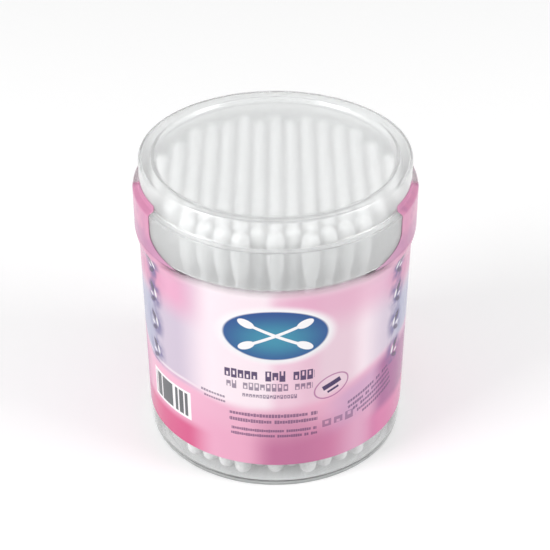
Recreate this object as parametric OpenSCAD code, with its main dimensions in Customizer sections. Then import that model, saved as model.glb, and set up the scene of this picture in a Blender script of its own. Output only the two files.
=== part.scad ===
// Round clear tub of cotton swabs, with a press-on lid and a printed shrink film.
// The swabs stand upright on the tub's floor. +Z is up, and the origin is on the
// surface that the tub stands on, at the tub's axis. The printed front faces -Y.

/* [Swabs] */
// Length of one swab from end to end
swab_l = 75.5; // [60:0.5:90]
// Diameter of the wound cotton
tip_d = 4.8; // [4:0.1:5.5]
// Length of the cotton at each end
tip_l = 14; // [10:0.5:20]
// Diameter of the stem
stem_d = 2.4; // [2:0.1:3]
// How far the stem reaches into the cotton
stem_in = 9; // [4:0.5:9]
// Distance between neighbouring rows of swabs
row_pitch = 4.3; // [4.3:0.05:6]
// Gap left between the outermost cotton and the tub's wall
side_gap = 0.3; // [0.2:0.1:2]

/* [Tub] */
// Outer radius of the tub where it stands
tub_r = 35.2; // [31:0.1:40]
// Growth of the tub's radius over each millimetre of height
draft = 0.0122; // [0:0.0002:0.02]
// Thickness of the tub's side wall
tub_wall = 1; // [0.6:0.1:1.6]
// Thickness of the tub's floor
floor_t = 1.1; // [0.6:0.1:3]
// Height of the foot ring under the floor
foot_h = 0.5; // [0.2:0.1:1]
// Width of the foot ring
foot_w = 2.6; // [2:0.1:5]
// Radius of the outer corner at the foot
foot_corner = 1.5; // [0.6:0.1:2]
// How far the swabs stand out above the tub's rim
swab_show = 2.4; // [1:0.1:8]

/* [Lid] */
// Thickness of the lid's walls
lid_wall = 0.75; // [0.5:0.05:1]
// Thickness of the lid's flat panel
panel_t = 0.8; // [0.5:0.05:1.2]
// Radial clearance between the tub and the lid's skirt
skirt_gap = 0.15; // [0.1:0.05:0.5]
// Gap between the tub's rim and the seat in the lid
seat_gap = 0.1; // [0.05:0.05:0.4]
// Depth of the skirt below the seat
skirt_h = 10.3; // [5:0.1:12]
// How far the lid steps in from its skirt to its drum
shoulder_in = 1.6; // [0.8:0.1:1.6]
// Height of the sloping shoulder
shoulder_h = 0.8; // [0.6:0.1:4]
// Free height between the swabs and the lid's panel
headroom = 3.9; // [2:0.1:12]
// Depth of the recess in the lid's top
recess_h = 1.3; // [0.8:0.1:2]
// Width of the raised rim round that recess
rim_w = 4; // [3:0.1:6]
// Radius of the rim's outer edge
rim_round = 0.9; // [0.4:0.1:1.2]

/* [Film] */
// Thickness of the printed film
film_t = 0.15; // [0.1:0.01:0.3]
// Gap between the film and the wall that it is shrunk on
film_gap = 0.05; // [0.04:0.01:0.2]
// Gap between the film's side tabs and the lid
tab_gap = 0.15; // [0.05:0.05:0.5]
// Height of the film's lower edge
film_low = 8; // [4:0.5:15]
// Distance from the sleeve's upper edge up to the lid
film_drop = 0.3; // [0.3:0.1:2]
// Height over which the film leaves the wall below the side tabs
film_flare = 6; // [3:0.5:10]
// Angle over which the sleeve comes back to the wall beside a tab
film_blend = 12; // [6:1:16]
// Gap at the perforation between the sleeve and a side tab
tear_gap = 0.2; // [0.1:0.05:0.3]
// Half the angle that each side tab covers
tab_half = 31; // [15:1:35]
// Width of the rounded corner at a tab's foot
tab_corner_w = 8.5; // [4:0.5:9]
// Height of that corner
tab_corner_h = 6.5; // [3:0.5:8]
// How far the side tabs reach up the lid's drum
tab_reach = 1.5; // [0.5:0.1:3]

/* [Print] */
// Thickness of the printed ink
ink_t = 0.06; // [0.04:0.01:0.1]
// Width of the blue plaque on the front
plaque_w = 28; // [20:0.5:34]
// Height of the blue plaque
plaque_h = 14.5; // [8:0.5:18]
// Gap between the plaque's border and the height where the film flares
plaque_gap = 0.25; // [0.2:0.05:4]
// Width of the widest line of print
line_w = 22; // [14:0.5:30]
// Width of the bar code's white panel
code_w = 16; // [10:0.5:18]
// Height of the bar code's white panel
code_h = 11; // [6:0.5:14]
// Gap between the bar code and the band below it
code_gap = 1.5; // [0.5:0.5:3]
// Direction of the bar code, in degrees from the front
code_turn = -52; // [-60:1:-45]
// Height of the deep pink band at the film's lower edge
band_h = 5; // [2:0.5:6]

/* [Hidden] */
rows = 15;
half_rows = (rows - 1) / 2;
row_names = [for (i = [0:rows - 1]) str("swab_row_", i < 9 ? "0" : "", i + 1)];
$fn = 96;
slack = 0.02;

// Heights, from the floor upwards
floor_z = foot_h + floor_t;
swab_z = floor_z + slack;
swab_top = swab_z + swab_l;
tub_h = swab_top - swab_show;
seat_z = tub_h + seat_gap;
skirt_z = seat_z - skirt_h;
shoulder_z = seat_z + lid_wall / 2;
panel_z = swab_top + headroom;
lid_top = panel_z + panel_t + recess_h;

// Radii
function tub_out(z) = tub_r + draft * z;
function tub_in(z) = tub_out(z) - tub_wall;
skirt_in = tub_out(tub_h) + skirt_gap;
skirt_out = skirt_in + lid_wall;
drum_out = skirt_out - shoulder_in;
drum_in = drum_out - lid_wall;
recess_r = drum_out - rim_w;

// Points of an arc about a centre, from one angle to another
function arc(x, y, r, from, to, n = 5) =
    [for (i = [0:n]) [x + r * cos(from + (to - from) * i / n), y + r * sin(from + (to - from) * i / n)]];

module tub() {
    foot_in = tub_r - foot_w;
    color([0.93, 0.95, 0.96, 0.4])
    rotate_extrude()
    polygon(concat(
        [[0, foot_h], [foot_in - foot_h, foot_h], [foot_in, 0]],
        arc(tub_out(foot_corner) - foot_corner, foot_corner, foot_corner, -90, 0),
        [[tub_out(tub_h), tub_h], [tub_in(tub_h), tub_h]],
        arc(tub_in(floor_z) - foot_corner / 2, floor_z + foot_corner / 2, foot_corner / 2, 0, -90),
        [[0, floor_z]]));
}

module lid() {
    rim_in = recess_r + lid_wall / 2;
    under = lid_top - lid_wall;
    color([0.95, 0.96, 0.97, 0.4])
    rotate_extrude()
    polygon(concat(
        [[0, panel_z + panel_t], [recess_r - lid_wall / 2, panel_z + panel_t]],
        [[recess_r, lid_top - lid_wall / 3], [rim_in, lid_top]],
        arc(drum_out - rim_round, lid_top - rim_round, rim_round, 90, 0),
        [[drum_out, shoulder_z + shoulder_h], [skirt_out, shoulder_z], [skirt_out, skirt_z]],
        [[skirt_in, skirt_z], [skirt_in, seat_z], [drum_in, seat_z], [drum_in, under]],
        [[rim_in + lid_wall / 2, under], [recess_r + lid_wall / 3, panel_z], [0, panel_z]]));
}

// The film is one sleeve that is perforated just under the lid. Below the perforation it
// is on the tub. Above it are the two side tabs, at -X and +X, which go with the lid.
function smooth(t) = let(c = max(0, min(1, t))) c * c * (3 - 2 * c);
sleeve_top = skirt_z - film_drop;
flare_z = skirt_z - film_flare;
tab_low = sleeve_top + tear_gap;
tab_in = skirt_out + tab_gap;
tab_top = shoulder_z + shoulder_h + tab_reach;
tab_side = (tab_in + film_t) * sin(tab_half);
tab_foot_half = asin((tab_side + tab_corner_w) / (tab_in + film_t));
function off_side(a) = 90 - abs(((a % 180) + 180) % 180 - 90);
function flared(a, z) =
    smooth((z - flare_z) / (sleeve_top - flare_z)) * smooth(1 + (tab_foot_half - off_side(a)) / film_blend);
function film_in(a, z) =
    let(wall = tub_out(z) + film_gap) wall + (tab_in - wall) * flared(a, z);

film_steps = 120;
film_rises = 8;
function film_z(k) = k == 0 ? film_low
    : flare_z + (sleeve_top - flare_z) * (k - 1) / film_rises;
function film_point(a, k, out) =
    let(z = film_z(k), r = film_in(a, z) + out) [r * cos(a), r * sin(a), z];

module film_sleeve() {
    rings = film_rises + 2;
    n = film_steps;
    points = [for (out = [0, film_t]) for (k = [0:rings - 1]) for (i = [0:n - 1])
        film_point(360 * i / n, k, out)];
    function at(side, k, i) = (side * rings + k) * n + i % n;
    sides = [for (k = [0:rings - 2]) for (i = [0:n - 1])
        each [[at(1, k, i), at(1, k + 1, i), at(1, k + 1, i + 1)],
              [at(1, k, i), at(1, k + 1, i + 1), at(1, k, i + 1)],
              [at(0, k, i), at(0, k + 1, i + 1), at(0, k + 1, i)],
              [at(0, k, i), at(0, k, i + 1), at(0, k + 1, i + 1)]]];
    edges = [for (i = [0:n - 1])
        each [[at(1, rings - 1, i), at(0, rings - 1, i), at(0, rings - 1, i + 1)],
              [at(1, rings - 1, i), at(0, rings - 1, i + 1), at(1, rings - 1, i + 1)],
              [at(0, 0, i), at(1, 0, i), at(1, 0, i + 1)],
              [at(0, 0, i), at(1, 0, i + 1), at(0, 0, i + 1)]]];
    color([0.96, 0.76, 0.85])
    polyhedron(points, concat(sides, edges));
}

// The corner at a tab's foot sweeps outwards as it comes down
function tab_edge(t) = [tab_side + tab_corner_w * pow(t, 1.8), tab_low + tab_corner_h * (1 - t)];

module film_tab() {
    wall = [[tab_in, tab_low], [tab_in, shoulder_z],
            [tab_in - shoulder_in, shoulder_z + shoulder_h], [tab_in - shoulder_in, tab_top]];
    edge = [for (k = [0:8]) tab_edge(k / 8)];
    color([0.93, 0.6, 0.75])
    intersection() {
        rotate_extrude()
        polygon(concat(wall, [for (k = [3:-1:0]) [wall[k][0] + film_t, wall[k][1]]]));
        rotate([90, 0, 90])
        linear_extrude(height = 2 * tub_r)
        polygon(concat([[tab_side, tab_top + 1]], edge, [for (s = [1, -1]) [s * edge[8][0], tab_low - 1]],
                       [for (k = [8:-1:0]) [-edge[k][0], edge[k][1]]], [[-tab_side, tab_top + 1]]));
    }
}

module film_tab_left() { mirror([1, 0, 0]) film_tab(); }
module film_tab_right() { film_tab(); }

// Print is a thin skin of ink on the film's wall. Its outline is drawn flat, in front of
// the film, and carried straight back to the wall.
ink_in = film_gap + film_t + slack;

module ink(turn, layer = 0) {
    low = film_low + slack;
    high = flare_z;
    from = ink_in + layer * (ink_t + slack);
    rotate([0, 0, turn])
    intersection() {
        rotate_extrude()
        polygon([[tub_out(low) + from, low], [tub_out(low) + from + ink_t, low],
                 [tub_out(high) + from + ink_t, high], [tub_out(high) + from, high]]);
        rotate([90, 0, 0])
        linear_extrude(height = 2 * tub_r)
        children();
    }
}

module pill(w, h, z) {
    for (s = [-1, 1]) translate([s * (w - h) / 2, z]) circle(d = h);
    translate([-(w - h) / 2, z - h / 2]) square([w - h, h]);
}

plaque_edge = 0.5;
plaque_z = flare_z - plaque_gap - plaque_h / 2 - 2 * plaque_edge;
band_top = film_low + band_h;
code_z = band_top + code_gap + code_h / 2;

// Height of a share of the room between the lower band and the plaque
function between(share) = band_top + (plaque_z - plaque_h / 2 - 2 * plaque_edge - band_top) * share;

module print_plaque() {
    color([0.16, 0.34, 0.62]) ink(0) pill(plaque_w, plaque_h, plaque_z);
}

module print_plaque_border() {
    color([0.98, 0.98, 1])
    ink(0)
    difference() {
        pill(plaque_w + 4 * plaque_edge, plaque_h + 4 * plaque_edge, plaque_z);
        pill(plaque_w + plaque_edge, plaque_h + plaque_edge, plaque_z);
    }
}

// Two crossed swabs
module print_plaque_motif() {
    color([0.98, 0.98, 1])
    ink(0, 1)
    for (lean = [-1, 1])
        translate([0, plaque_z]) rotate(lean * 62) {
            bar = plaque_h * 0.07;
            reach = plaque_h * 0.6;
            square([bar, 2 * reach], center = true);
            for (end = [-1, 1]) translate([0, end * reach]) {
                circle(r = bar * 1.5);
                translate([0, -end * bar * 2]) square([bar * 3, bar * 4], center = true);
            }
        }
}

// Lines that stand for print: [share of the widest line, height of the line, its place]
line_rows = [[0.96, 1.9, 0.845], [0.9, 1.2, 0.717], [0.62, 0.8, 0.62],
             [0.98, 0.8, 0.355], [0.98, 0.8, 0.285], [0.9, 0.5, 0.19], [0.98, 0.5, 0.12]];

module print_lines() {
    color([0.33, 0.25, 0.5])
    ink(0)
    for (l = line_rows) translate([0, between(l[2])]) square([l[0] * line_w, l[1]], center = true);
}

badge_w = 9.5;
badge_h = 6.4;
badge_x = (line_w + badge_w) / 2;

module print_badge() {
    rim = 0.4;
    color([0.55, 0.28, 0.5])
    ink(0)
    translate([badge_x, between(0.66)]) rotate(20) {
        difference() {
            pill(badge_w, badge_h, 0);
            pill(badge_w - 2 * rim, badge_h - 2 * rim, 0);
        }
        square([badge_w / 2, rim * 2], center = true);
    }
}

module print_bar_code_panel() {
    color([0.98, 0.97, 0.98])
    ink(code_turn)
    translate([0, code_z]) square([code_w, code_h], center = true);
}

// Width of each dark bar, repeated over the panel
bar_widths = [0.7, 0.35, 1, 0.35, 0.7, 0.5, 0.35, 1, 0.5, 0.7, 0.35, 0.5];

module print_bar_code_bars() {
    step = code_w * 0.86 / len(bar_widths);
    bar_h = code_h * 0.72;
    color([0.16, 0.2, 0.22])
    ink(code_turn, 1)
    for (i = [0:len(bar_widths) - 1])
        translate([(i - (len(bar_widths) - 1) / 2) * step, code_z])
        square([bar_widths[i] * step, bar_h], center = true);
}

tile = 4;
tile_step = 9;
tile_turn = 61;
tile_top = flare_z - tile / 2;
tiles = floor((tile_top - code_z - code_h / 2) / tile_step);

module print_side_tiles() {
    color([0.5, 0.5, 0.72])
    for (turn = [-tile_turn, tile_turn])
        ink(turn)
        for (i = [0:tiles - 1])
            translate([0, tile_top - tile / 2 - i * tile_step]) circle(d = tile);
}

module print_lower_band() {
    low = film_low + slack;
    high = band_top;
    from = ink_in;
    color([0.86, 0.42, 0.62])
    rotate_extrude()
    polygon([[tub_out(low) + from, low], [tub_out(low) + from + ink_t, low],
             [tub_out(high) + from + ink_t, high], [tub_out(high) + from, high]]);
}

// Swabs stand in rows along Y, and every other row is shifted by half a step
step_y = row_pitch / cos(30);
reach_r = tub_in(floor_z) - side_gap - tip_d / 2;
function row_x(i) = (i - half_rows) * row_pitch;
function shift(i) = (abs(i - half_rows) % 2) * step_y / 2;
function row_places(i) =
    let(n = ceil(reach_r / step_y))
    [for (k = [-n:n]) let(y = k * step_y + shift(i))
        if (norm([row_x(i), y]) <= reach_r) [row_x(i), y, 0]];

tip_round = tip_d / 2;
tip_start = stem_d / 2 + 0.35;
tip_taper = tip_l * 0.32;

// One end's cotton, wound on the stem, with its round end at z = 0
module cotton() {
    bore_z = tip_l - stem_in;
    rotate_extrude($fn = 32)
    polygon(concat(
        arc(0, tip_round, tip_round, -90, 0, 6),
        [[tip_round, tip_l - tip_taper], [(tip_round + tip_start * 2) / 3 + 0.3, tip_l - tip_taper / 3]],
        [[tip_start, tip_l], [stem_d / 2, tip_l], [stem_d / 2, bore_z], [0, bore_z]]));
}

module row_tips(i) {
    color([0.97, 0.97, 0.97])
    for (p = row_places(i)) translate(p) {
        translate([0, 0, swab_z]) cotton();
        translate([0, 0, swab_top]) mirror([0, 0, 1]) cotton();
    }
}

module row_stems(i) {
    bore_z = tip_l - stem_in;
    color([0.94, 0.94, 0.95])
    for (p = row_places(i))
        translate(p) translate([0, 0, swab_z + bore_z])
        cylinder(d = stem_d, h = swab_l - 2 * bore_z, $fn = 32);
}

tub();
lid();
film_sleeve();
film_tab_left();
film_tab_right();
print_plaque();
print_plaque_border();
print_plaque_motif();
print_lines();
print_badge();
print_bar_code_panel();
print_bar_code_bars();
print_side_tiles();
print_lower_band();
for (i = [0:rows - 1]) {
    row_stems(i);
    row_tips(i);
}
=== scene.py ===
# A clear tub of upright cotton swabs, with a printed film round it and a clear press-on lid.
# Metres, +Z up, the printed front towards -Y, as in the CAD frame.
import math

import bpy
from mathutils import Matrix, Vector


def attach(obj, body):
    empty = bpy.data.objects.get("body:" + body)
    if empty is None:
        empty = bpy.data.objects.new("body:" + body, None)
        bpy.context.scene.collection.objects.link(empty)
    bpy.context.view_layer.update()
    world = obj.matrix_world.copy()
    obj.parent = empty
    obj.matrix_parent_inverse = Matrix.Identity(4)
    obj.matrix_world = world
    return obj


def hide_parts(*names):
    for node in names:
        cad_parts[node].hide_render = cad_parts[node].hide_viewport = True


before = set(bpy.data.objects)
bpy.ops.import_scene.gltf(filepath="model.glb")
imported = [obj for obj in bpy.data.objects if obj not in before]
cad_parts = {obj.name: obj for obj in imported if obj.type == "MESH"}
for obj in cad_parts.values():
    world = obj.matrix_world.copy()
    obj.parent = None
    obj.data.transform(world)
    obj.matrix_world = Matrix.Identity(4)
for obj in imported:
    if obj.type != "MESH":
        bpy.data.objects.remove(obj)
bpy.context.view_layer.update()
mm = 0.001
print("frame loaded:", len(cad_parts), "nodes")

# Camera, placed where the photograph was taken from
cameraSpot = {"height": 33.3, "distance": 405, "aim": (-0.13, 0, 44.95), "lens": 97.66, "nearest": 0.01}


def placeCamera():
    rise = math.radians(cameraSpot["height"])
    aim = Vector(cameraSpot["aim"]) * mm
    away = Vector((0, -math.cos(rise), math.sin(rise))) * cameraSpot["distance"] * mm
    camera = bpy.data.objects.new("camera", bpy.data.cameras.new("camera"))
    camera.data.lens = cameraSpot["lens"]
    camera.data.clip_start = cameraSpot["nearest"]
    camera.location = aim + away
    camera.rotation_euler = (-away).to_track_quat("-Z", "Y").to_euler()
    bpy.context.collection.objects.link(camera)
    bpy.context.scene.camera = camera


placeCamera()


# Small tools for meshes
def meshObject(name, points, faces, sharpAngle=35):
    mesh = bpy.data.meshes.new(name)
    mesh.from_pydata([Vector(p) * mm for p in points], [], faces)
    mesh.validate()
    mesh.shade_smooth()
    mesh.set_sharp_from_angle(angle=math.radians(sharpAngle))
    made = bpy.data.objects.new(name, mesh)
    bpy.context.collection.objects.link(made)
    return made


def softCorners(outline, bends=5, most=0.49):
    # Each corner is (radius, height, size of the rounding), and a rounding takes at most half an edge
    made = []
    for i, corner in enumerate(outline):
        here = Vector(corner[:2])
        size = corner[2] if len(corner) > 2 else 0
        if not size:
            made.append(tuple(here))
            continue
        before = Vector(outline[i - 1][:2]) - here
        after = Vector(outline[(i + 1) % len(outline)][:2]) - here
        start = here + before.normalized() * min(size, before.length * most)
        end = here + after.normalized() * min(size, after.length * most)
        for k in range(bends + 1):
            t = k / bends
            made.append(tuple(start * (1 - t) ** 2 + here * 2 * t * (1 - t) + end * t * t))
    return made


def turned(name, outline, steps, sharpAngle=35):
    # A solid of revolution; the outline runs from the axis, outwards and back to the axis
    points = []
    rings = []
    for r, z in outline:
        if r < 1e-6:
            rings.append([len(points)])
            points.append((0, 0, z))
            continue
        rings.append([len(points) + i for i in range(steps)])
        for i in range(steps):
            a = 2 * math.pi * i / steps
            points.append((r * math.cos(a), r * math.sin(a), z))
    faces = []
    for low, high in zip(rings, rings[1:]):
        for i in range(steps):
            j = (i + 1) % steps
            if len(low) == 1 and len(high) == 1:
                continue
            if len(low) == 1:
                faces.append((low[0], high[j], high[i]))
            elif len(high) == 1:
                faces.append((low[i], low[j], high[0]))
            else:
                faces.append((low[i], low[j], high[j], high[i]))
    return meshObject(name, points, faces, sharpAngle)


# Small tools for materials
def paint(code):
    parts = [int(code[i:i + 2], 16) / 255 for i in (0, 2, 4)]
    return tuple(c / 12.92 if c <= 0.04045 else ((c + 0.055) / 1.055) ** 2.4 for c in parts) + (1,)


def feed(tree, socket, value):
    if isinstance(value, bpy.types.NodeSocket):
        tree.links.new(value, socket)
    else:
        socket.default_value = value


def calc(tree, how, *values):
    node = tree.nodes.new("ShaderNodeMath")
    node.operation = how
    for socket, value in zip(node.inputs, values):
        feed(tree, socket, value)
    return node.outputs[0]


def ramp(tree, value, start, end):
    # 0 at start, 1 at end, with a soft rise between them
    node = tree.nodes.new("ShaderNodeMapRange")
    node.interpolation_type = "SMOOTHSTEP"
    feed(tree, node.inputs["Value"], value)
    feed(tree, node.inputs["From Min"], start)
    feed(tree, node.inputs["From Max"], end)
    return node.outputs[0]


def mixed(tree, share, under, over):
    node = tree.nodes.new("ShaderNodeMix")
    node.data_type = "RGBA"
    feed(tree, node.inputs[0], share)
    feed(tree, node.inputs[6], under)
    feed(tree, node.inputs[7], over)
    return node.outputs[2]


def newGroup(name, inputs, outputs):
    tree = bpy.data.node_groups.new(name, "ShaderNodeTree")
    for label, value in inputs.items():
        socket = tree.interface.new_socket(label, in_out="INPUT", socket_type="NodeSocketFloat")
        socket.default_value = value
    for label in outputs:
        kind = "NodeSocketVector" if label == "Normal" else "NodeSocketFloat"
        tree.interface.new_socket(label, in_out="OUTPUT", socket_type=kind)
    return tree, tree.nodes.new("NodeGroupInput").outputs, tree.nodes.new("NodeGroupOutput").inputs


def useGroup(tree, group, **values):
    node = tree.nodes.new("ShaderNodeGroup")
    node.node_tree = group
    for label, value in values.items():
        feed(tree, node.inputs[label], value)
    return node.outputs


def newMaterial(name):
    material = bpy.data.materials.new(name)
    material.use_nodes = True
    shader = material.node_tree.nodes["Principled BSDF"]
    return material, material.node_tree, shader


# Groups that more than one material uses
def makeUnevenGroup():
    # Small dents and waves, as in moulded plastic, shrunk film or wound cotton
    wanted = {"Across": 200, "Along": 200, "Depth": 0.1, "Height": 0.0001}
    tree, given, out = newGroup("uneven", wanted, ["Normal"])
    place = tree.nodes.new("ShaderNodeTexCoord").outputs["Object"]
    split = tree.nodes.new("ShaderNodeSeparateXYZ")
    tree.links.new(place, split.inputs[0])
    join = tree.nodes.new("ShaderNodeCombineXYZ")
    for i, label in enumerate(("Across", "Across", "Along")):
        tree.links.new(calc(tree, "MULTIPLY", split.outputs[i], given[label]), join.inputs[i])
    noise = tree.nodes.new("ShaderNodeTexNoise")
    noise.inputs["Scale"].default_value = 1
    noise.inputs["Detail"].default_value = 3
    tree.links.new(join.outputs[0], noise.inputs["Vector"])
    bump = tree.nodes.new("ShaderNodeBump")
    tree.links.new(given["Depth"], bump.inputs["Strength"])
    tree.links.new(given["Height"], bump.inputs["Distance"])
    tree.links.new(noise.outputs[0], bump.inputs["Height"])
    tree.links.new(bump.outputs[0], out["Normal"])
    return tree


# What every flat form takes: the place on the film, its middle, its half sizes and how far it leans
formInputs = {"Across": 0, "Up": 0, "Mid Across": 0, "Mid Up": 0, "Half Width": 1, "Half Height": 1,
              "Lean": 0}


def leaned(tree, given):
    # How far the place lies along the form and across it
    x = calc(tree, "SUBTRACT", given["Across"], given["Mid Across"])
    y = calc(tree, "SUBTRACT", given["Up"], given["Mid Up"])
    cosine = calc(tree, "COSINE", given["Lean"])
    sine = calc(tree, "SINE", given["Lean"])
    along = calc(tree, "ADD", calc(tree, "MULTIPLY", x, cosine), calc(tree, "MULTIPLY", y, sine))
    over = calc(tree, "SUBTRACT", calc(tree, "MULTIPLY", y, cosine), calc(tree, "MULTIPLY", x, sine))
    return along, over


def makeOvalGroup():
    # 1 inside a leaning oval, 0 outside
    tree, given, out = newGroup("oval", {**formInputs, "Soft": 0.03}, ["Mask"])
    along, over = leaned(tree, given)
    across = calc(tree, "POWER", calc(tree, "DIVIDE", along, given["Half Width"]), 2)
    up = calc(tree, "POWER", calc(tree, "DIVIDE", over, given["Half Height"]), 2)
    far = calc(tree, "SQRT", calc(tree, "ADD", across, up))
    inner = calc(tree, "SUBTRACT", 1, given["Soft"])
    outer = calc(tree, "ADD", 1, given["Soft"])
    tree.links.new(ramp(tree, far, outer, inner), out["Mask"])
    return tree


def makeBarGroup():
    # 1 inside a leaning bar with soft edges, 0 outside
    tree, given, out = newGroup("bar", {**formInputs, "Soft": 0.05}, ["Mask"])
    along, over = leaned(tree, given)
    masks = []
    for value, half in ((along, given["Half Width"]), (over, given["Half Height"])):
        past = calc(tree, "SUBTRACT", calc(tree, "ABSOLUTE", value), half)
        masks.append(ramp(tree, past, given["Soft"], calc(tree, "MULTIPLY", given["Soft"], -1)))
    tree.links.new(calc(tree, "MULTIPLY", *masks), out["Mask"])
    return tree


# How the marks in a row differ in height and in the place of their openings
dashShape = {"scatter": 7.3, "lowest": 0.7, "taller": 0.3, "holeSpread": 1.2, "holeHeight": 0.42}


def makeDashGroup():
    # A row of short marks of uneven height, inside a leaning bar
    d = dashShape
    wanted = {**formInputs, "Step": 1, "Stroke": 0.75, "Filled": 0.7, "Hole": 0.4, "Seed": 1}
    tree, given, out = newGroup("dashes", wanted, ["Mask"])
    along = calc(tree, "MULTIPLY", calc(tree, "SUBTRACT", given["Across"], given["Mid Across"]),
                 calc(tree, "COSINE", given["Lean"]))
    place = calc(tree, "ADD", calc(tree, "DIVIDE", along, given["Step"]), 0.5)
    noise = tree.nodes.new("ShaderNodeTexWhiteNoise")
    noise.noise_dimensions = "1D"
    tree.links.new(calc(tree, "ADD", calc(tree, "FLOOR", place), given["Seed"]), noise.inputs["W"])
    chance = noise.outputs["Value"]
    second = calc(tree, "FRACT", calc(tree, "MULTIPLY", chance, d["scatter"]))
    share = calc(tree, "MULTIPLY_ADD", second, d["taller"], d["lowest"])
    tall = calc(tree, "MULTIPLY", given["Half Height"], share)
    same = {k: given[k] for k in ("Across", "Up", "Mid Across", "Mid Up", "Half Width", "Lean")}
    box = useGroup(tree, groups["bar"], **same, **{"Half Height": tall})["Mask"]
    on = calc(tree, "LESS_THAN", chance, given["Filled"])
    inside = calc(tree, "LESS_THAN", calc(tree, "FRACT", place), given["Stroke"])
    # Some marks are open in their middle, a little above or below it
    sideways = calc(tree, "SUBTRACT", calc(tree, "DIVIDE", calc(tree, "FRACT", place), given["Stroke"]), 0.5)
    reach = calc(tree, "MULTIPLY", given["Hole"], 0.5)
    near = calc(tree, "LESS_THAN", calc(tree, "ABSOLUTE", sideways), reach)
    rise = calc(tree, "DIVIDE", calc(tree, "SUBTRACT", given["Up"], given["Mid Up"]), tall)
    shift = calc(tree, "MULTIPLY_ADD", second, d["holeSpread"], -d["holeSpread"] / 2)
    rise = calc(tree, "SUBTRACT", rise, shift)
    level = calc(tree, "LESS_THAN", calc(tree, "ABSOLUTE", rise), d["holeHeight"])
    closed = calc(tree, "SUBTRACT", 1, calc(tree, "MULTIPLY", near, level))
    mark = calc(tree, "MULTIPLY", calc(tree, "MULTIPLY", on, inside), closed)
    tree.links.new(calc(tree, "MULTIPLY", box, mark), out["Mask"])
    return tree


groups = {"uneven": makeUnevenGroup(), "oval": makeOvalGroup(), "bar": makeBarGroup()}
groups["dashes"] = makeDashGroup()
print("node groups made")


# Clear plastic of the tub and the lid; the lid's is hazier. Its grey foot tint is a painted shade.
clearPlastic = {"tint": "F6F7F7", "paintedFootShade": "C6C8C8", "paintedShadeTop": 1.8, "paintedShadeLow": 1.1, "ior": 1.46,
                "coat": 0.6, "coatRoughness": 0.05, "shadow": 0.99, "greyness": 0.8, "density": 150,
                "wavesAcross": 90.0, "wavesAlong": 25.0, "waveHeight": 0.0006,
                "tub": {"haze": 0.06, "clearness": 0.94, "waves": 0.12},
                "lid": {"haze": 0.22, "clearness": 0.8, "waves": 0.1}}


def makeClearPlastic(name, kind):
    p = clearPlastic
    material, tree, shader = newMaterial(name)
    # The thick foot is painted greyer than the walls: a painted shade for the dark contact at its base
    split = tree.nodes.new("ShaderNodeSeparateXYZ")
    tree.links.new(tree.nodes.new("ShaderNodeTexCoord").outputs["Object"], split.inputs[0])
    low = ramp(tree, calc(tree, "MULTIPLY", split.outputs[2], 1000), p["paintedShadeTop"], p["paintedShadeLow"])
    tree.links.new(mixed(tree, low, paint(p["tint"]), paint(p["paintedFootShade"])), shader.inputs["Base Color"])
    shader.inputs["Roughness"].default_value = kind["haze"]
    shader.inputs["IOR"].default_value = p["ior"]
    shader.inputs["Transmission Weight"].default_value = kind["clearness"]
    shader.inputs["Coat Weight"].default_value = p["coat"]
    shader.inputs["Coat Roughness"].default_value = p["coatRoughness"]
    waves = useGroup(tree, groups["uneven"], Across=p["wavesAcross"], Along=p["wavesAlong"],
                     Depth=kind["waves"], Height=p["waveHeight"])
    tree.links.new(waves["Normal"], shader.inputs["Normal"])
    # Shadow rays pass to what stands inside, as light does through the real thin walls
    clear = tree.nodes.new("ShaderNodeBsdfTransparent")
    clear.inputs["Color"].default_value = (p["shadow"],) * 3 + (1,)
    rays = tree.nodes.new("ShaderNodeLightPath")
    mix = tree.nodes.new("ShaderNodeMixShader")
    tree.links.new(rays.outputs["Is Shadow Ray"], mix.inputs[0])
    tree.links.new(shader.outputs[0], mix.inputs[1])
    tree.links.new(clear.outputs[0], mix.inputs[2])
    tree.links.new(mix.outputs[0], tree.nodes["Material Output"].inputs[0])
    # Thick edges turn grey, because light travels further through them
    inner = tree.nodes.new("ShaderNodeVolumeAbsorption")
    inner.inputs["Color"].default_value = (p["greyness"],) * 3 + (1,)
    inner.inputs["Density"].default_value = p["density"]
    tree.links.new(inner.outputs[0], tree.nodes["Material Output"].inputs["Volume"])
    return material


tubPlastic = makeClearPlastic("clearTubPlastic", clearPlastic["tub"])
lidPlastic = makeClearPlastic("clearLidPlastic", clearPlastic["lid"])

# The tub, from the part's own sizes in millimetres
tubSizes = {"foot": 0.5, "floor": 1.6, "footInner": 32.6, "radius": 35.2, "draft": 0.0122, "wall": 1.0,
            "height": 74.72, "corner": 2.2, "steps": 288}


def tubOut(z):
    return tubSizes["radius"] + tubSizes["draft"] * z


def makeTub():
    s = tubSizes
    outline = [(0, s["foot"]), (s["footInner"] - s["foot"], s["foot"], 0.3), (s["footInner"], 0, 0.2),
               (tubOut(0), 0, s["corner"]), (tubOut(s["height"]), s["height"], 0.3),
               (tubOut(s["height"]) - s["wall"], s["height"], 0.3),
               (tubOut(s["floor"]) - s["wall"], s["floor"], 0.9), (0, s["floor"])]
    tub = turned("tub_shell", softCorners(outline), s["steps"])
    tub.data.materials.append(tubPlastic)
    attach(tub, "tub_body")
    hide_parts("tub")


makeTub()

# The lid, with its skirt, shoulder, drum, raised rim and sunken panel
lidSizes = {"skirtFoot": 64.52, "skirtIn": 36.262, "wall": 0.75, "seat": 74.82, "shoulder": 75.195,
            "shoulderRise": 0.8, "shoulderIn": 1.6, "panel": 81.02, "panelWall": 0.8, "top": 83.12,
            "rimWidth": 4.0, "recessSlope": 0.5, "underSlope": 0.2, "steps": 288}


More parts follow.
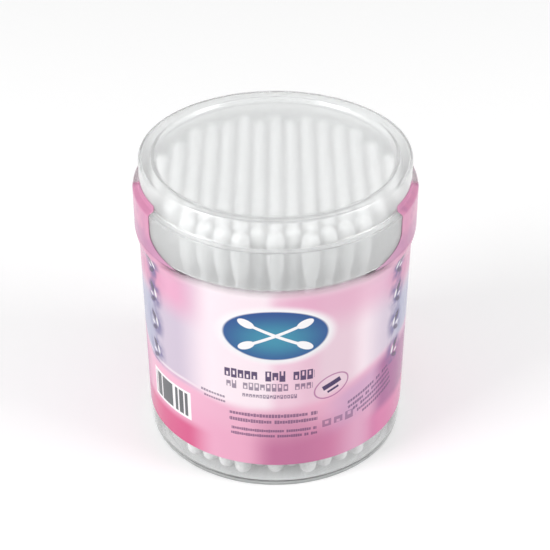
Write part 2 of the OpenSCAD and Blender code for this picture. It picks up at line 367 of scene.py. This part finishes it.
def makeLid():
    s = lidSizes
    skirtOut = s["skirtIn"] + s["wall"]
    drumOut = skirtOut - s["shoulderIn"]
    recess = drumOut - s["rimWidth"]
    under = s["top"] - s["wall"]
    outline = [(0, s["panel"] + s["panelWall"]),
               (recess - s["recessSlope"], s["panel"] + s["panelWall"], 0.35),
               (recess, s["top"], 0.4), (drumOut, s["top"], 0.9),
               (drumOut, s["shoulder"] + s["shoulderRise"], 0.5), (skirtOut, s["shoulder"], 0.4),
               (skirtOut, s["skirtFoot"], 0.2), (s["skirtIn"], s["skirtFoot"], 0.2),
               (s["skirtIn"], s["seat"], 0.1),
               (drumOut - s["wall"], s["seat"], 0.2), (drumOut - s["wall"], under, 0.4),
               (recess + s["wall"], under, 0.3), (recess + s["underSlope"], s["panel"], 0.3),
               (0, s["panel"])]
    lid = turned("lid_shell", softCorners(outline), s["steps"])
    # The outline runs from the top down, so the faces point the wrong way round
    lid.data.flip_normals()
    lid.data.materials.append(lidPlastic)
    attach(lid, "lid_body")
    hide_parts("lid")


makeLid()
print("tub and lid made")

# Swabs, in rows along Y, every other row shifted by half a step
swabSizes = {"rows": 15, "pitch": 4.3, "length": 75.5, "foot": 1.62, "tipRadius": 2.4, "tipLength": 14.0,
             "stemRadius": 1.2, "floorGap": 0.02, "sideGap": 0.3, "mostAside": 9, "sway": 0.00006,
             "lift": 0.0003, "seed": 7, "tipSides": 14, "stemSides": 12, "sharpAngle": 80,
             "footLumps": (0.05, 0.4), "topLumps": (0.06, 1.7)}


def swabPlaces():
    s = swabSizes
    step = s["pitch"] / math.cos(math.radians(30))
    reach = tubOut(s["foot"] - s["floorGap"]) - tubSizes["wall"] - s["sideGap"] - s["tipRadius"]
    middle = (s["rows"] - 1) // 2
    places = []
    for row in range(-middle, middle + 1):
        x = row * s["pitch"]
        for k in range(-s["mostAside"], s["mostAside"] + 1):
            y = k * step + (abs(row) % 2) * step / 2
            if math.hypot(x, y) <= reach + 1e-6:
                places.append((x, y))
    return places


cottonLook = {"dark": "E3E3E3", "light": "F0F0F0", "grain": 900, "detail": 4, "contrast": (0.3, 0.7),
              "roughness": 0.95, "gloss": 0.2, "glow": 0.25, "glowReach": 0.001, "sheen": 0.2,
              "across": 2200.0, "along": 1500.0, "depth": 0.7, "height": 0.0003}
stemLook = {"dark": "DBDCDE", "light": "E7E7E9", "grain": 400, "roughness": 0.5}


def makeCotton():
    look = cottonLook
    material, tree, shader = newMaterial("cotton")
    place = tree.nodes.new("ShaderNodeTexCoord").outputs["Object"]
    noise = tree.nodes.new("ShaderNodeTexNoise")
    noise.inputs["Scale"].default_value = look["grain"]
    noise.inputs["Detail"].default_value = look["detail"]
    tree.links.new(place, noise.inputs["Vector"])
    shade = ramp(tree, noise.outputs[0], *look["contrast"])
    tree.links.new(mixed(tree, shade, paint(look["dark"]), paint(look["light"])), shader.inputs["Base Color"])
    shader.inputs["Roughness"].default_value = look["roughness"]
    shader.inputs["Specular IOR Level"].default_value = look["gloss"]
    shader.inputs["Subsurface Weight"].default_value = look["glow"]
    shader.inputs["Subsurface Radius"].default_value = (look["glowReach"],) * 3
    shader.inputs["Subsurface Scale"].default_value = 1
    shader.inputs["Sheen Weight"].default_value = look["sheen"]
    fibres = useGroup(tree, groups["uneven"], Across=look["across"], Along=look["along"], Depth=look["depth"],
                      Height=look["height"])
    tree.links.new(fibres["Normal"], shader.inputs["Normal"])
    return material


def makeStemFinish():
    look = stemLook
    material, tree, shader = newMaterial("stemWhite")
    place = tree.nodes.new("ShaderNodeTexCoord").outputs["Object"]
    noise = tree.nodes.new("ShaderNodeTexNoise")
    noise.inputs["Scale"].default_value = look["grain"]
    tree.links.new(place, noise.inputs["Vector"])
    shade = noise.outputs[0]
    tree.links.new(mixed(tree, shade, paint(look["dark"]), paint(look["light"])), shader.inputs["Base Color"])
    shader.inputs["Roughness"].default_value = look["roughness"]
    return material


def makeStandingTree():
    # One shape at every point, turned at random and moved a little
    tree = bpy.data.node_groups.new("standingSwabs", "GeometryNodeTree")
    face = tree.interface
    face.new_socket("Places", in_out="INPUT", socket_type="NodeSocketGeometry")
    for label, kind in (("Shape", "Object"), ("Sway", "Float"), ("Lift", "Float"), ("Seed", "Int"),
                        ("Finish", "Material")):
        face.new_socket(label, in_out="INPUT", socket_type="NodeSocket" + kind)
    face.new_socket("Swabs", in_out="OUTPUT", socket_type="NodeSocketGeometry")
    given = tree.nodes.new("NodeGroupInput").outputs
    out = tree.nodes.new("NodeGroupOutput").inputs

    def random(kind, low, high, extra):
        node = tree.nodes.new("FunctionNodeRandomValue")
        node.data_type = kind
        first = 0 if kind == "FLOAT_VECTOR" else 2
        feed(tree, node.inputs[first], low)
        feed(tree, node.inputs[first + 1], high)
        tree.links.new(calc(tree, "ADD", given["Seed"], extra), node.inputs["Seed"])
        return node.outputs[0 if kind == "FLOAT_VECTOR" else 1]

    def minus(value):
        return calc(tree, "MULTIPLY", value, -1)

    offset = tree.nodes.new("ShaderNodeCombineXYZ")
    for i, high, low, extra in ((0, given["Sway"], minus(given["Sway"]), 1),
                                (1, given["Sway"], minus(given["Sway"]), 2),
                                (2, 0.0, minus(given["Lift"]), 3)):
        tree.links.new(random("FLOAT", low, high, extra), offset.inputs[i])
    move = tree.nodes.new("GeometryNodeSetPosition")
    tree.links.new(given["Places"], move.inputs["Geometry"])
    tree.links.new(offset.outputs[0], move.inputs["Offset"])
    shape = tree.nodes.new("GeometryNodeObjectInfo")
    tree.links.new(given["Shape"], shape.inputs["Object"])
    place = tree.nodes.new("GeometryNodeInstanceOnPoints")
    tree.links.new(move.outputs[0], place.inputs["Points"])
    tree.links.new(shape.outputs["Geometry"], place.inputs["Instance"])
    turn = random("FLOAT_VECTOR", (0, 0, 0), (0, 0, 6.28), 4)
    tree.links.new(turn, place.inputs["Rotation"])
    real = tree.nodes.new("GeometryNodeRealizeInstances")
    tree.links.new(place.outputs[0], real.inputs[0])
    finish = tree.nodes.new("GeometryNodeSetMaterial")
    tree.links.new(real.outputs[0], finish.inputs["Geometry"])
    tree.links.new(given["Finish"], finish.inputs["Material"])
    tree.links.new(finish.outputs[0], out["Swabs"])
    return tree


def standAll(name, tree, shape, height, finish, lift):
    # Fills the tub with one shape and turns the result into a plain mesh
    places = meshObject(name + "_places", [(x, y, height) for x, y in swabPlaces()], [])
    modifier = places.modifiers.new("stand", "NODES")
    modifier.node_group = tree
    wanted = {"Shape": shape, "Sway": swabSizes["sway"], "Lift": lift, "Seed": swabSizes["seed"],
              "Finish": finish}
    for item in tree.interface.items_tree:
        if item.in_out == "INPUT" and item.name in wanted:
            modifier[item.identifier] = wanted[item.name]
    graph = bpy.context.evaluated_depsgraph_get()
    mesh = bpy.data.meshes.new_from_object(places.evaluated_get(graph))
    mesh.name = name
    made = bpy.data.objects.new(name, mesh)
    bpy.context.collection.objects.link(made)
    bpy.data.objects.remove(places)
    return made


# Waves of the wound cotton: how many go round, the seed's share, how close up the tip, and strength
windings = ((3, 1, 700, 1.0), (5, -2, 1500, 0.6))


def lumpy(shape, amount, seed):
    # Cotton is wound unevenly, so its skin is pulled in here and there
    for vertex in shape.data.vertices:
        p = vertex.co
        a = math.atan2(p.y, p.x)
        wave = sum(strength * math.sin(count * a + share * seed + p.z * close)
                   for count, share, close, strength in windings)
        shrink = 1 - amount * (0.5 + wave / 3.2)
        vertex.co = (p.x * shrink, p.y * shrink, p.z)


# Radius and height up a cotton tip
tipOutline = [(0, 0), (0.85, 0.1), (1.6, 0.55), (2.1, 1.25), (2.34, 2.3), (2.4, 3.8), (2.38, 6), (2.28, 8.4),
              (2.05, 10.4), (1.74, 12.2), (1.45, 13.4), (1.22, 14), (0, 14)]


def makeSwabs():
    s = swabSizes
    foot = turned("foot_shape", tipOutline, s["tipSides"], s["sharpAngle"])
    top = turned("top_shape", [(r, -z) for r, z in tipOutline], s["tipSides"], s["sharpAngle"])
    top.data.flip_normals()
    lumpy(foot, *s["footLumps"])
    lumpy(top, *s["topLumps"])
    # The stem's ends are hidden a millimetre deep in the cotton
    low = s["tipLength"] - 1
    high = s["length"] - low
    stem = turned("stem_shape", [(0, low), (s["stemRadius"], low), (s["stemRadius"], high), (0, high)],
                  s["stemSides"])
    tree = makeStandingTree()
    cotton = makeCotton()
    stemFinish = makeStemFinish()
    rows = ["swab_row_%02d" % (i + 1) for i in range(s["rows"])]
    # The tips stand where the CAD tips do, so the two ends share one set of nodes
    feet = standAll("cotton_feet", tree, foot, s["foot"], cotton, 0.0)
    tops = standAll("cotton_tops", tree, top, s["foot"] + s["length"], cotton, s["lift"])
    stems = standAll("stems", tree, stem, s["foot"], stemFinish, 0.0)
    for piece in (feet, tops, stems):
        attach(piece, "tub_body")
    for row in rows:
        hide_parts(row + "_tips")
        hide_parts(row + "_tips")
        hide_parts(row + "_stems")
    for shape in (foot, top, stem):
        bpy.data.objects.remove(shape)
    print("swabs:", len(swabPlaces()))


makeSwabs()

# Printed film. The sleeve is shrunk on the tub, and above its perforation two side tabs hug the lid.
filmSizes = {"low": 8.0, "top": 64.22, "flare": 58.52, "blend": 12.0, "gap": 0.05, "thick": 0.15,
             "steps": 360, "lowRings": 24, "flareRings": 14, "sharpAngle": 50}
tabSizes = {"low": 64.28, "shoulder": 75.195, "shoulderTop": 75.995, "top": 77.495, "in": 37.06,
            "drumIn": 35.46, "half": 31.0, "cornerWidth": 8.5, "cornerTop": 70.92, "cornerCurve": 2.6,
            "steps": 56, "rings": 16}


def smooth(t):
    t = max(0.0, min(1.0, t))
    return t * t * (3 - 2 * t)


def tabHalf(z):
    # Half the tab's angle, wider towards its foot
    s = tabSizes
    out = s["in"] + filmSizes["thick"]
    t = max(0.0, min(1.0, (s["cornerTop"] - z) / (s["cornerTop"] - s["low"])))
    wider = s["cornerWidth"] / out * t ** s["cornerCurve"]
    return math.degrees(math.asin(math.sin(math.radians(s["half"])) + wider))


def filmRadius(a, z):
    s = filmSizes
    wall = tubOut(z) + s["gap"]
    fromSide = 90 - abs((a % 180) - 90)
    over = smooth((z - s["flare"]) / (s["top"] - s["flare"]))
    beside = smooth(1 + (tabHalf(tabSizes["low"]) - fromSide) / s["blend"])
    return wall + (tabSizes["in"] - wall) * over * beside


def shellFaces(rings, n, around):
    # Faces of a thin wall whose inner grid of points comes before its outer one
    def at(side, k, i):
        return (side * rings + k) * n + i % n

    faces = []
    last = rings - 1
    for i in range(n if around else n - 1):
        for k in range(last):
            faces.append((at(1, k, i), at(1, k, i + 1), at(1, k + 1, i + 1), at(1, k + 1, i)))
            faces.append((at(0, k, i), at(0, k + 1, i), at(0, k + 1, i + 1), at(0, k, i + 1)))
        faces.append((at(1, last, i), at(1, last, i + 1), at(0, last, i + 1), at(0, last, i)))
        faces.append((at(1, 0, i), at(0, 0, i), at(0, 0, i + 1), at(1, 0, i + 1)))
    if not around:
        for k in range(last):
            faces.append((at(1, k, 0), at(1, k + 1, 0), at(0, k + 1, 0), at(0, k, 0)))
            faces.append((at(1, k, n - 1), at(0, k, n - 1), at(0, k + 1, n - 1), at(1, k + 1, n - 1)))
    return faces


def makeFilm(finish):
    s = filmSizes
    n = s["steps"]
    heights = [s["low"] + (s["flare"] - s["low"]) * i / s["lowRings"] for i in range(s["lowRings"])]
    flare = s["top"] - s["flare"]
    heights += [s["flare"] + flare * i / s["flareRings"] for i in range(s["flareRings"] + 1)]
    points = []
    for out in (0, s["thick"]):
        for z in heights:
            for i in range(n):
                a = math.radians(360 * i / n)
                r = filmRadius(360 * i / n, z) + out
                points.append((r * math.cos(a), r * math.sin(a), z))
    film = meshObject("printed_film", points, shellFaces(len(heights), n, True), s["sharpAngle"])
    film.data.materials.append(finish)
    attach(film, "tub_body")
    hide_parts("film_sleeve", "print_plaque", "print_plaque_border", "print_plaque_motif",
                "print_lines", "print_badge", "print_bar_code_panel", "print_bar_code_bars",
                "print_side_tiles", "print_lower_band")


def makeTab(name, node, turn, finish):
    s = tabSizes
    n = s["steps"]
    line = [(s["in"], s["low"] + (s["shoulder"] - s["low"]) * i / s["rings"]) for i in range(s["rings"])]
    line += softCorners([(s["in"], s["low"]), (s["in"], s["shoulder"], 0.5),
                         (s["drumIn"], s["shoulderTop"], 0.5), (s["drumIn"], s["top"])])[1:]
    points = []
    for out in (0, filmSizes["thick"]):
        for r, z in line:
            for i in range(n):
                a = math.radians(turn + tabHalf(z) * (2 * i / (n - 1) - 1))
                points.append(((r + out) * math.cos(a), (r + out) * math.sin(a), z))
    tab = meshObject(name, points, shellFaces(len(line), n, False), filmSizes["sharpAngle"])
    tab.data.materials.append(finish)
    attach(tab, "lid_body")
    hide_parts(node)


# One of these colours is painted shade: the deeper rose laid over the middle of the lower field
filmColours = {"pale": "FBEAF2", "lilac": "C2B5CA", "softPink": "E8CAD8", "blueGrey": "A6AAC6",
               "upperPink": "E6A6C5", "tabPink": "D283AA", "tabPurple": "AE739F", "boundaryPink": "EDB1CB",
               "lightRose": "ECA9C6", "rose": "CF7AA3", "paintedShadeRose": "B0608C", "palePink": "DFA3C2",
               "swoosh": "CFA3C6", "magenta": "A3568F", "vividPink": "D878A8", "strongPink": "D65688",
               "white": "FBF8FA", "ink": "40295C", "darkInk": "2A363B", "oval": "1D4B8F",
               "ovalGlow": "3A93AE", "mark": "57508C", "markDeep": "3A2850"}
filmLook = {"acrossPerDegree": 0.628, "blotchScale": 260, "roughness": 0.22, "ior": 1.5, "wavesAcross": 160.0,
            "wavesAlong": 40.0, "waves": 0.15, "waveHeight": 0.0006}
# The lower field's edge stands a little higher on the left and climbs to the right and round the sides
lowerEdge = {"start": 26.4, "lineOver": 0.7, "shadeUnder": 0.2,
             "climbs": (("left", 10, 44, 2.8), ("left", 62, 89, 6.4), ("face", -2, 62, 9.2))}
# Soft fields in the order they are laid: colour, strength, then where each measure starts and is full.
# Face, left and side are degrees, up and below are millimetres.
filmFields = [("lilac", 0.85, ("left", 26, 46)),
              ("lilac", 0.7, ("face", 36, 54)),
              ("upperPink", 1, ("left", 26, 46), ("up", 46, 56)),
              ("softPink", 0.9, ("face", 4, 18), ("face", 42, 30)),
              ("upperPink", 0.7, ("face", -5, 8), ("up", 47, 58)),
              ("upperPink", 0.5, ("face", -5, 2), ("face", 22, 12)),
              ("white", 0.5, ("up", 60, 64), ("side", 50, 34)),
              ("blueGrey", 0.9, ("side", 54, 68), ("up", 54, 46)),
              ("tabPink", 0.9, ("side", 48, 64), ("up", 48, 57)),
              ("tabPurple", 0.45, ("side", 48, 64), ("up", 48, 57), ("blotch", 0.4, 0.75)),
              ("tabPurple", 0.55, ("up", 71, 66.5), ("up", 63.5, 64.5)),
              ("boundaryPink", 1, ("below", -2, 2)),
              ("lightRose", 1, ("below", 4, 12)),
              ("rose", 1, ("below", 5, 14), ("left", 12, 0)),
              # Painted shade: a deeper rose in the middle of the lower field, where less light falls between
              # the side lamps
              ("paintedShadeRose", 0.5, ("left", 16, -2), ("face", 30, 8), ("up", 29, 21)),
              ("palePink", 1, ("face", 22, 38), ("below", 5, 12)),
              ("swoosh", 0.85, ("face", 16, 34), ("below", -1, 4), ("below", 16, 9)),
              ("magenta", 0.95, ("face", 43, 54), ("below", -1, 4)),
              ("vividPink", 1, ("face", 38, 52), ("up", 18.5, 14.5)),
              ("strongPink", 1, ("left", 26, 42), ("up", 17.5, 14)),
              ("magenta", 0.95, ("left", 66, 88), ("below", -1, 4)),
              ("vividPink", 1, ("side", 70, 86), ("up", 18.5, 14.5)),
              ("white", 0.45, ("edgeLine", 0.6, 0.2), ("left", 24, 44), ("left", 80, 64)),
              ("swoosh", 0.4, ("edgeShade", 0.6, 0.2), ("left", 24, 44), ("left", 80, 64))]
# Sizes are half widths and half heights, with the softness of the edge as a third number
plaque = {"up": 50.3, "border": (15.2, 8.6, 0.12), "field": (13.6, 7.4, 0.03), "glow": (9, 4.6, 0.8),
          "glowUp": 49.5, "glowStrength": 0.9, "lean": 0.42, "stem": (9.4, 0.42, 0.05),
          "tip": (2.3, 1.15, 0.06), "tipAway": 8.2}
# Rows of marks: middle, half width and height, lean, step, stroke, share filled, opening, strength and seed
printLines = [(-1.7, 37.6, 11.8, 1.7, 0, 1.8, 0.84, 0.86, 0.36, 0.95, 3),
              (-1.7, 34.0, 11.4, 1.3, 0, 1.5, 0.8, 0.86, 0.5, 0.7, 11),
              (-1.9, 31.0, 7.6, 0.7, 0, 0.9, 0.8, 0.84, 0.3, 0.7, 23),
              (-0.6, 24.6, 11.8, 0.6, 0, 0.8, 0.84, 0.9, 0, 0.7, 31),
              (-0.6, 22.6, 11.8, 0.6, 0, 0.7, 0.84, 0.9, 0, 0.7, 43),
              (-0.4, 19.6, 11.4, 0.5, 0, 0.6, 0.85, 0.92, 0, 0.7, 57),
              (-0.4, 17.9, 11.6, 0.5, 0, 0.6, 0.85, 0.92, 0, 0.7, 61),
              (27.2, 27.1, 8.4, 0.5, 0.3, 0.8, 0.8, 0.9, 0, 0.7, 71),
              (28.0, 25.6, 8.2, 0.5, 0.3, 0.7, 0.8, 0.9, 0, 0.7, 77),
              (29.0, 24.2, 7.8, 0.5, 0.28, 0.8, 0.8, 0.9, 0, 0.7, 83),
              (30.2, 22.8, 7.2, 0.5, 0.26, 0.7, 0.8, 0.9, 0, 0.7, 87),
              (31.4, 21.4, 6.4, 0.5, 0.24, 0.8, 0.8, 0.9, 0, 0.7, 89),
              (17.7, 20.6, 5.1, 1.4, 0.06, 3.4, 0.76, 1, 0.4, 0.5, 91),
              (-17.0, 29.4, 3.6, 0.4, -0.08, 0.8, 0.8, 0.8, 0, 0.7, 97),
              (-16.5, 27.8, 3.2, 0.35, -0.08, 0.7, 0.8, 0.8, 0, 0.7, 99)]
badge = {"across": 15, "up": 32.4, "lean": 0.4, "outer": (5.2, 3.5, 0.03), "inner": (4.8, 3.1, 0.03),
         "strength": 0.8, "bars": ((15, 33, (2.7, 0.75, 0.05)), (15.4, 31.2, (1.7, 0.35, 0.05)))}
# The column of marks at each side: its angle, pitch and lowest and highest place. Each has a patchy leaf
# under small ones, which are colour, strength, middle, half width and height, lean and softness.
sideMarks = {"turn": 61, "step": 9, "first": 33, "low": 29, "high": 62, "end": 0.2, "patches": (0.3, 0.62),
             "under": ("mark", 0.9, 0, 0, 3.4, 4.6, 0.0, 0.6),
             "small": (("markDeep", 0.9, 0.6, 1.3, 1.9, 0.9, 0.8, 0.35),
                       ("white", 0.85, -0.8, 0.2, 1.2, 0.5, 1.2, 0.4),
                       ("markDeep", 0.8, 0.6, -2.1, 1.6, 0.7, -0.5, 0.4),
                       ("white", 0.7, 1.3, -0.8, 0.8, 0.4, 0.3, 0.4))}
barCode = {"turn": -52, "up": 21.4, "panel": (8.3, 4.6, 0.05), "bars": (7.5, 3.8, 0.05), "step": 0.55,
           "filled": 0.66, "strength": 0.9}
# The print fades out at the film's upper edge, but not at the sides or above the parting, on the tabs.
# There its end drops towards the rear.
printEnd = {"edge": (64.6, 61.4), "sides": (42, 56), "parting": 64.25, "tabTop": 79, "drop": 11,
            "dropTurn": (74, 104), "fade": (1.2, -1.8), "clear": 0.1}


def makeFilmFinish():
    c = {name: paint(code) for name, code in filmColours.items()}
    material, tree, shader = newMaterial("printedFilm")
    split = tree.nodes.new("ShaderNodeSeparateXYZ")
    place = tree.nodes.new("ShaderNodeTexCoord").outputs["Object"]
    tree.links.new(place, split.inputs[0])
    # Degrees from the front, to the right, and millimetres up the film
    frontwards = calc(tree, "MULTIPLY", split.outputs[1], -1)
    turn = calc(tree, "DEGREES", calc(tree, "ARCTAN2", split.outputs[0], frontwards))
    up = calc(tree, "MULTIPLY", split.outputs[2], 1000)
    # The print is the same in front and behind
    face = calc(tree, "SUBTRACT", calc(tree, "FLOORED_MODULO", calc(tree, "ADD", turn, 90), 180), 90)
    across = calc(tree, "MULTIPLY", face, filmLook["acrossPerDegree"])
    side = calc(tree, "ABSOLUTE", face)
    blotch = tree.nodes.new("ShaderNodeTexNoise")
    blotch.inputs["Scale"].default_value = filmLook["blotchScale"]
    blotch.inputs["Detail"].default_value = 2
    tree.links.new(place, blotch.inputs["Vector"])
    measures = {"up": up, "face": face, "left": calc(tree, "MULTIPLY", face, -1), "side": side,
                "blotch": blotch.outputs[0]}

    def both(*masks):
        value = masks[0]
        for mask in masks[1:]:
            value = calc(tree, "MULTIPLY", value, mask)
        return value

    def lay(colour, mask, over):
        return mixed(tree, mask, colour, c[over])

    def form(kind, x, y, size, lean=0.0, sideways=across, upwards=up):
        return useGroup(tree, groups[kind], Across=sideways, Up=upwards, **{
            "Mid Across": x, "Mid Up": y, "Half Width": size[0], "Half Height": size[1], "Lean": lean,
            "Soft": size[2]})["Mask"]

    # Soft fields of colour
    edge = lowerEdge["start"]
    for measure, start, end, rise in lowerEdge["climbs"]:
        edge = calc(tree, "ADD", edge, both(ramp(tree, measures[measure], start, end), rise))
    below = calc(tree, "SUBTRACT", edge, up)
    measures["below"] = below
    measures["edgeLine"] = calc(tree, "ABSOLUTE", calc(tree, "ADD", below, lowerEdge["lineOver"]))
    measures["edgeShade"] = calc(tree, "ABSOLUTE", calc(tree, "SUBTRACT", below, lowerEdge["shadeUnder"]))
    colour = c["pale"]
    for over, strength, *limits in filmFields:
        masks = [ramp(tree, measures[measure], start, end) for measure, start, end in limits]
        colour = lay(colour, both(*masks, strength), over)

    # Oval plaque with two crossed swabs
    colour = lay(colour, form("oval", 0, plaque["up"], plaque["border"]), "white")
    colour = lay(colour, form("oval", 0, plaque["up"], plaque["field"]), "oval")
    glow = form("oval", 0, plaque["glowUp"], plaque["glow"])
    colour = lay(colour, both(glow, plaque["glowStrength"]), "ovalGlow")
    for lean in (-plaque["lean"], plaque["lean"]):
        colour = lay(colour, form("bar", 0, plaque["up"], plaque["stem"], lean), "white")
        for end in (-1, 1):
            x = end * plaque["tipAway"] * math.cos(lean)
            y = plaque["up"] + end * plaque["tipAway"] * math.sin(lean)
            colour = lay(colour, form("oval", x, y, plaque["tip"], lean), "white")
    # Rows of random marks
    for x, y, w, h, lean, step, stroke, filled, hole, strength, seed in printLines:
        marks = useGroup(tree, groups["dashes"], Across=across, Up=up, **{
            "Mid Across": x, "Mid Up": y, "Half Width": w, "Half Height": h, "Lean": lean, "Step": step,
            "Stroke": stroke, "Filled": filled, "Hole": hole, "Seed": seed})["Mask"]
        colour = lay(colour, both(marks, strength), "ink")
    # Leaning badge
    b = badge
    ring = calc(tree, "SUBTRACT", form("oval", b["across"], b["up"], b["outer"], b["lean"]),
                form("oval", b["across"], b["up"], b["inner"], b["lean"]))
    colour = lay(colour, both(ring, b["strength"]), "magenta")
    for x, y, size in b["bars"]:
        colour = lay(colour, form("bar", x, y, size, b["lean"]), "ink")
    # Leaf marks down both sides
    m = sideMarks
    shifted = calc(tree, "ADD", up, m["step"] / 2 - m["first"])
    row = calc(tree, "SUBTRACT", calc(tree, "FLOORED_MODULO", shifted, m["step"]), m["step"] / 2)
    beside = both(calc(tree, "SUBTRACT", side, m["turn"]), filmLook["acrossPerDegree"])
    within = both(ramp(tree, up, m["low"] - m["end"], m["low"]),
                  ramp(tree, up, m["high"] + m["end"], m["high"]))

    def leaf(over, strength, x, y, w, h, lean, soft):
        mask = form("oval", x, y, (w, h, soft), lean, beside, row)
        return both(mask, within, strength), over

    mask, over = leaf(*m["under"])
    colour = lay(colour, both(mask, ramp(tree, measures["blotch"], *m["patches"])), over)
    for small in m["small"]:
        colour = lay(colour, *leaf(*small))
    # Bar code, on the front's left only
    wide = both(calc(tree, "SUBTRACT", turn, barCode["turn"]), filmLook["acrossPerDegree"])
    panel, bars = (form("bar", 0, barCode["up"], barCode[part], 0.0, wide) for part in ("panel", "bars"))
    colour = lay(colour, panel, "white")
    noise = tree.nodes.new("ShaderNodeTexWhiteNoise")
    noise.noise_dimensions = "1D"
    tree.links.new(calc(tree, "FLOOR", calc(tree, "DIVIDE", wide, barCode["step"])), noise.inputs["W"])
    filled = calc(tree, "LESS_THAN", noise.outputs["Value"], barCode["filled"])
    colour = lay(colour, both(bars, filled, barCode["strength"]), "darkInk")
    tree.links.new(colour, shader.inputs["Base Color"])

    e = printEnd
    solid = calc(tree, "MAXIMUM", ramp(tree, up, *e["edge"]), ramp(tree, side, *e["sides"]))
    solid = calc(tree, "MAXIMUM", solid, calc(tree, "GREATER_THAN", up, e["parting"]))
    rearward = ramp(tree, calc(tree, "ABSOLUTE", turn), *e["dropTurn"])
    tabTop = calc(tree, "SUBTRACT", e["tabTop"], both(rearward, e["drop"]))
    solid = both(solid, ramp(tree, calc(tree, "SUBTRACT", up, tabTop), *e["fade"]))
    tree.links.new(calc(tree, "MULTIPLY_ADD", solid, 1 - e["clear"], e["clear"]), shader.inputs["Alpha"])
    shader.inputs["Roughness"].default_value = filmLook["roughness"]
    shader.inputs["IOR"].default_value = filmLook["ior"]
    waves = useGroup(tree, groups["uneven"], Across=filmLook["wavesAcross"], Along=filmLook["wavesAlong"],
                     Depth=filmLook["waves"], Height=filmLook["waveHeight"])
    tree.links.new(waves["Normal"], shader.inputs["Normal"])
    return material


filmFinish = makeFilmFinish()
makeFilm(filmFinish)
makeTab("printed_tab_left", "film_tab_left", 180, filmFinish)
makeTab("printed_tab_right", "film_tab_right", 0, filmFinish)
print("film made")

# Floor, world and lamps; a lamp is its name, power and place
studio = {"floor": "F4F4F4", "floorHalf": 2000, "floorRoughness": 0.9, "floorGloss": 0.1,
          "floorLift": 0.24, "around": 0.48, "lampSize": 0.5,
          "lampAim": (0, 0, 0.04), "lamps": (("left_lamp", 5.5, (-0.76, -0.44, 0.52)),
                                             ("right_lamp", 4.1, (0.82, -0.28, 0.52)))}


def seenRays(tree):
    # 1 for what the camera sees straight, in gloss or through the clear plastic
    rays = tree.nodes.new("ShaderNodeLightPath").outputs
    reflected = calc(tree, "MAXIMUM", rays["Is Glossy Ray"], rays["Is Transmission Ray"])
    return calc(tree, "MAXIMUM", rays["Is Camera Ray"], reflected)


def makeFloor():
    half = studio["floorHalf"]
    floor = meshObject("floor", [(-half, -half, 0), (half, -half, 0), (half, half, 0), (-half, half, 0)],
                       [(0, 1, 2, 3)])
    material, tree, shader = newMaterial("floorPale")
    shader.inputs["Base Color"].default_value = paint(studio["floor"])
    shader.inputs["Roughness"].default_value = studio["floorRoughness"]
    shader.inputs["Specular IOR Level"].default_value = studio["floorGloss"]
    shader.inputs["Emission Color"].default_value = (1, 1, 1, 1)
    lift = calc(tree, "MULTIPLY", seenRays(tree), studio["floorLift"])
    tree.links.new(lift, shader.inputs["Emission Strength"])
    floor.data.materials.append(material)


def makeWorld():
    world = bpy.data.worlds.new("studio")
    bpy.context.scene.world = world
    world.use_nodes = True
    tree = world.node_tree
    background = tree.nodes["Background"]
    background.inputs[0].default_value = (1, 1, 1, 1)
    strength = calc(tree, "MULTIPLY_ADD", seenRays(tree), 1 - studio["around"], studio["around"])
    tree.links.new(strength, background.inputs[1])


def makeLamp(name, power, place):
    lamp = bpy.data.objects.new(name, bpy.data.lights.new(name, "AREA"))
    lamp.data.energy = power
    lamp.data.size = studio["lampSize"]
    lamp.location = place
    lamp.rotation_euler = (Vector(studio["lampAim"]) - Vector(place)).to_track_quat("-Z", "Y").to_euler()
    bpy.context.collection.objects.link(lamp)


makeFloor()
makeWorld()
for lampName, power, place in studio["lamps"]:
    makeLamp(lampName, power, place)
bpy.context.scene.view_settings.view_transform = "Standard"
print("stage made")
